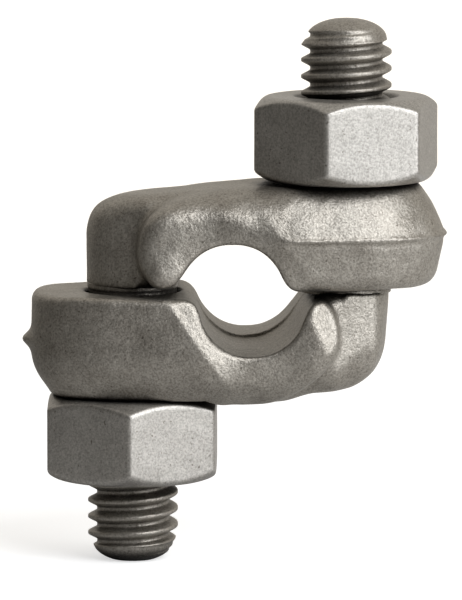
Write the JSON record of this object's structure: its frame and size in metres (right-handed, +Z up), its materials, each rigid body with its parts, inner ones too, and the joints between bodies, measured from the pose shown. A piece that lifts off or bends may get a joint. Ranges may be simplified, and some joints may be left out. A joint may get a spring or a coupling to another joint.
{
  "type": "wire rope clip",
  "caption": "Double-saddle wire rope clip: opposed forged galvanised saddles with integral threaded studs and hex nuts that clamp wire rope between them.",
  "frame": {"origin": "centre of the rope opening, midway between the two studs, on the plane where the saddles part", "axes": "+Y along the rope, +Z up along the upper stud, +X from the lower stud towards the upper stud"},
  "size_m": [0.0356, 0.0174, 0.0468],
  "materials": {
    "forged_zinc": "hot-dip galvanised forging, dull and pitted",
    "nut_zinc": "hot-dip galvanised nut, dull satin"
  },
  "bodies": {
    "lower_jaw": {"lower_saddle": "forged_zinc"},
    "upper_jaw": {"upper_saddle": "forged_zinc"},
    "upper_nut": {"upper_nut": "nut_zinc"},
    "lower_nut": {"lower_nut": "nut_zinc"}
  },
  "joints": [
    {"name": "jaw_slide", "type": "slide", "parent": "lower_jaw", "child": "upper_jaw", "axis": [0, 0, 1], "range_m": [-0.0005, 0.0058]},
    {"name": "upper_nut_spin", "type": "hinge", "parent": "upper_jaw", "child": "upper_nut", "pos_m": [0.0091, 0, 0.0127], "axis": [0, 0, 1], "range_deg": [-115, 1440]},
    {"name": "lower_nut_spin", "type": "hinge", "parent": "lower_jaw", "child": "lower_nut", "pos_m": [-0.0091, 0, -0.0127], "axis": [0, 0, -1], "range_deg": [-115, 1440]}
  ],
  "couplings": [
    {"joint": "jaw_slide", "follows": "upper_nut_spin", "m_per_rad": 0.00022457},
    {"joint": "lower_nut_spin", "follows": "upper_nut_spin", "ratio": 1}
  ]
}
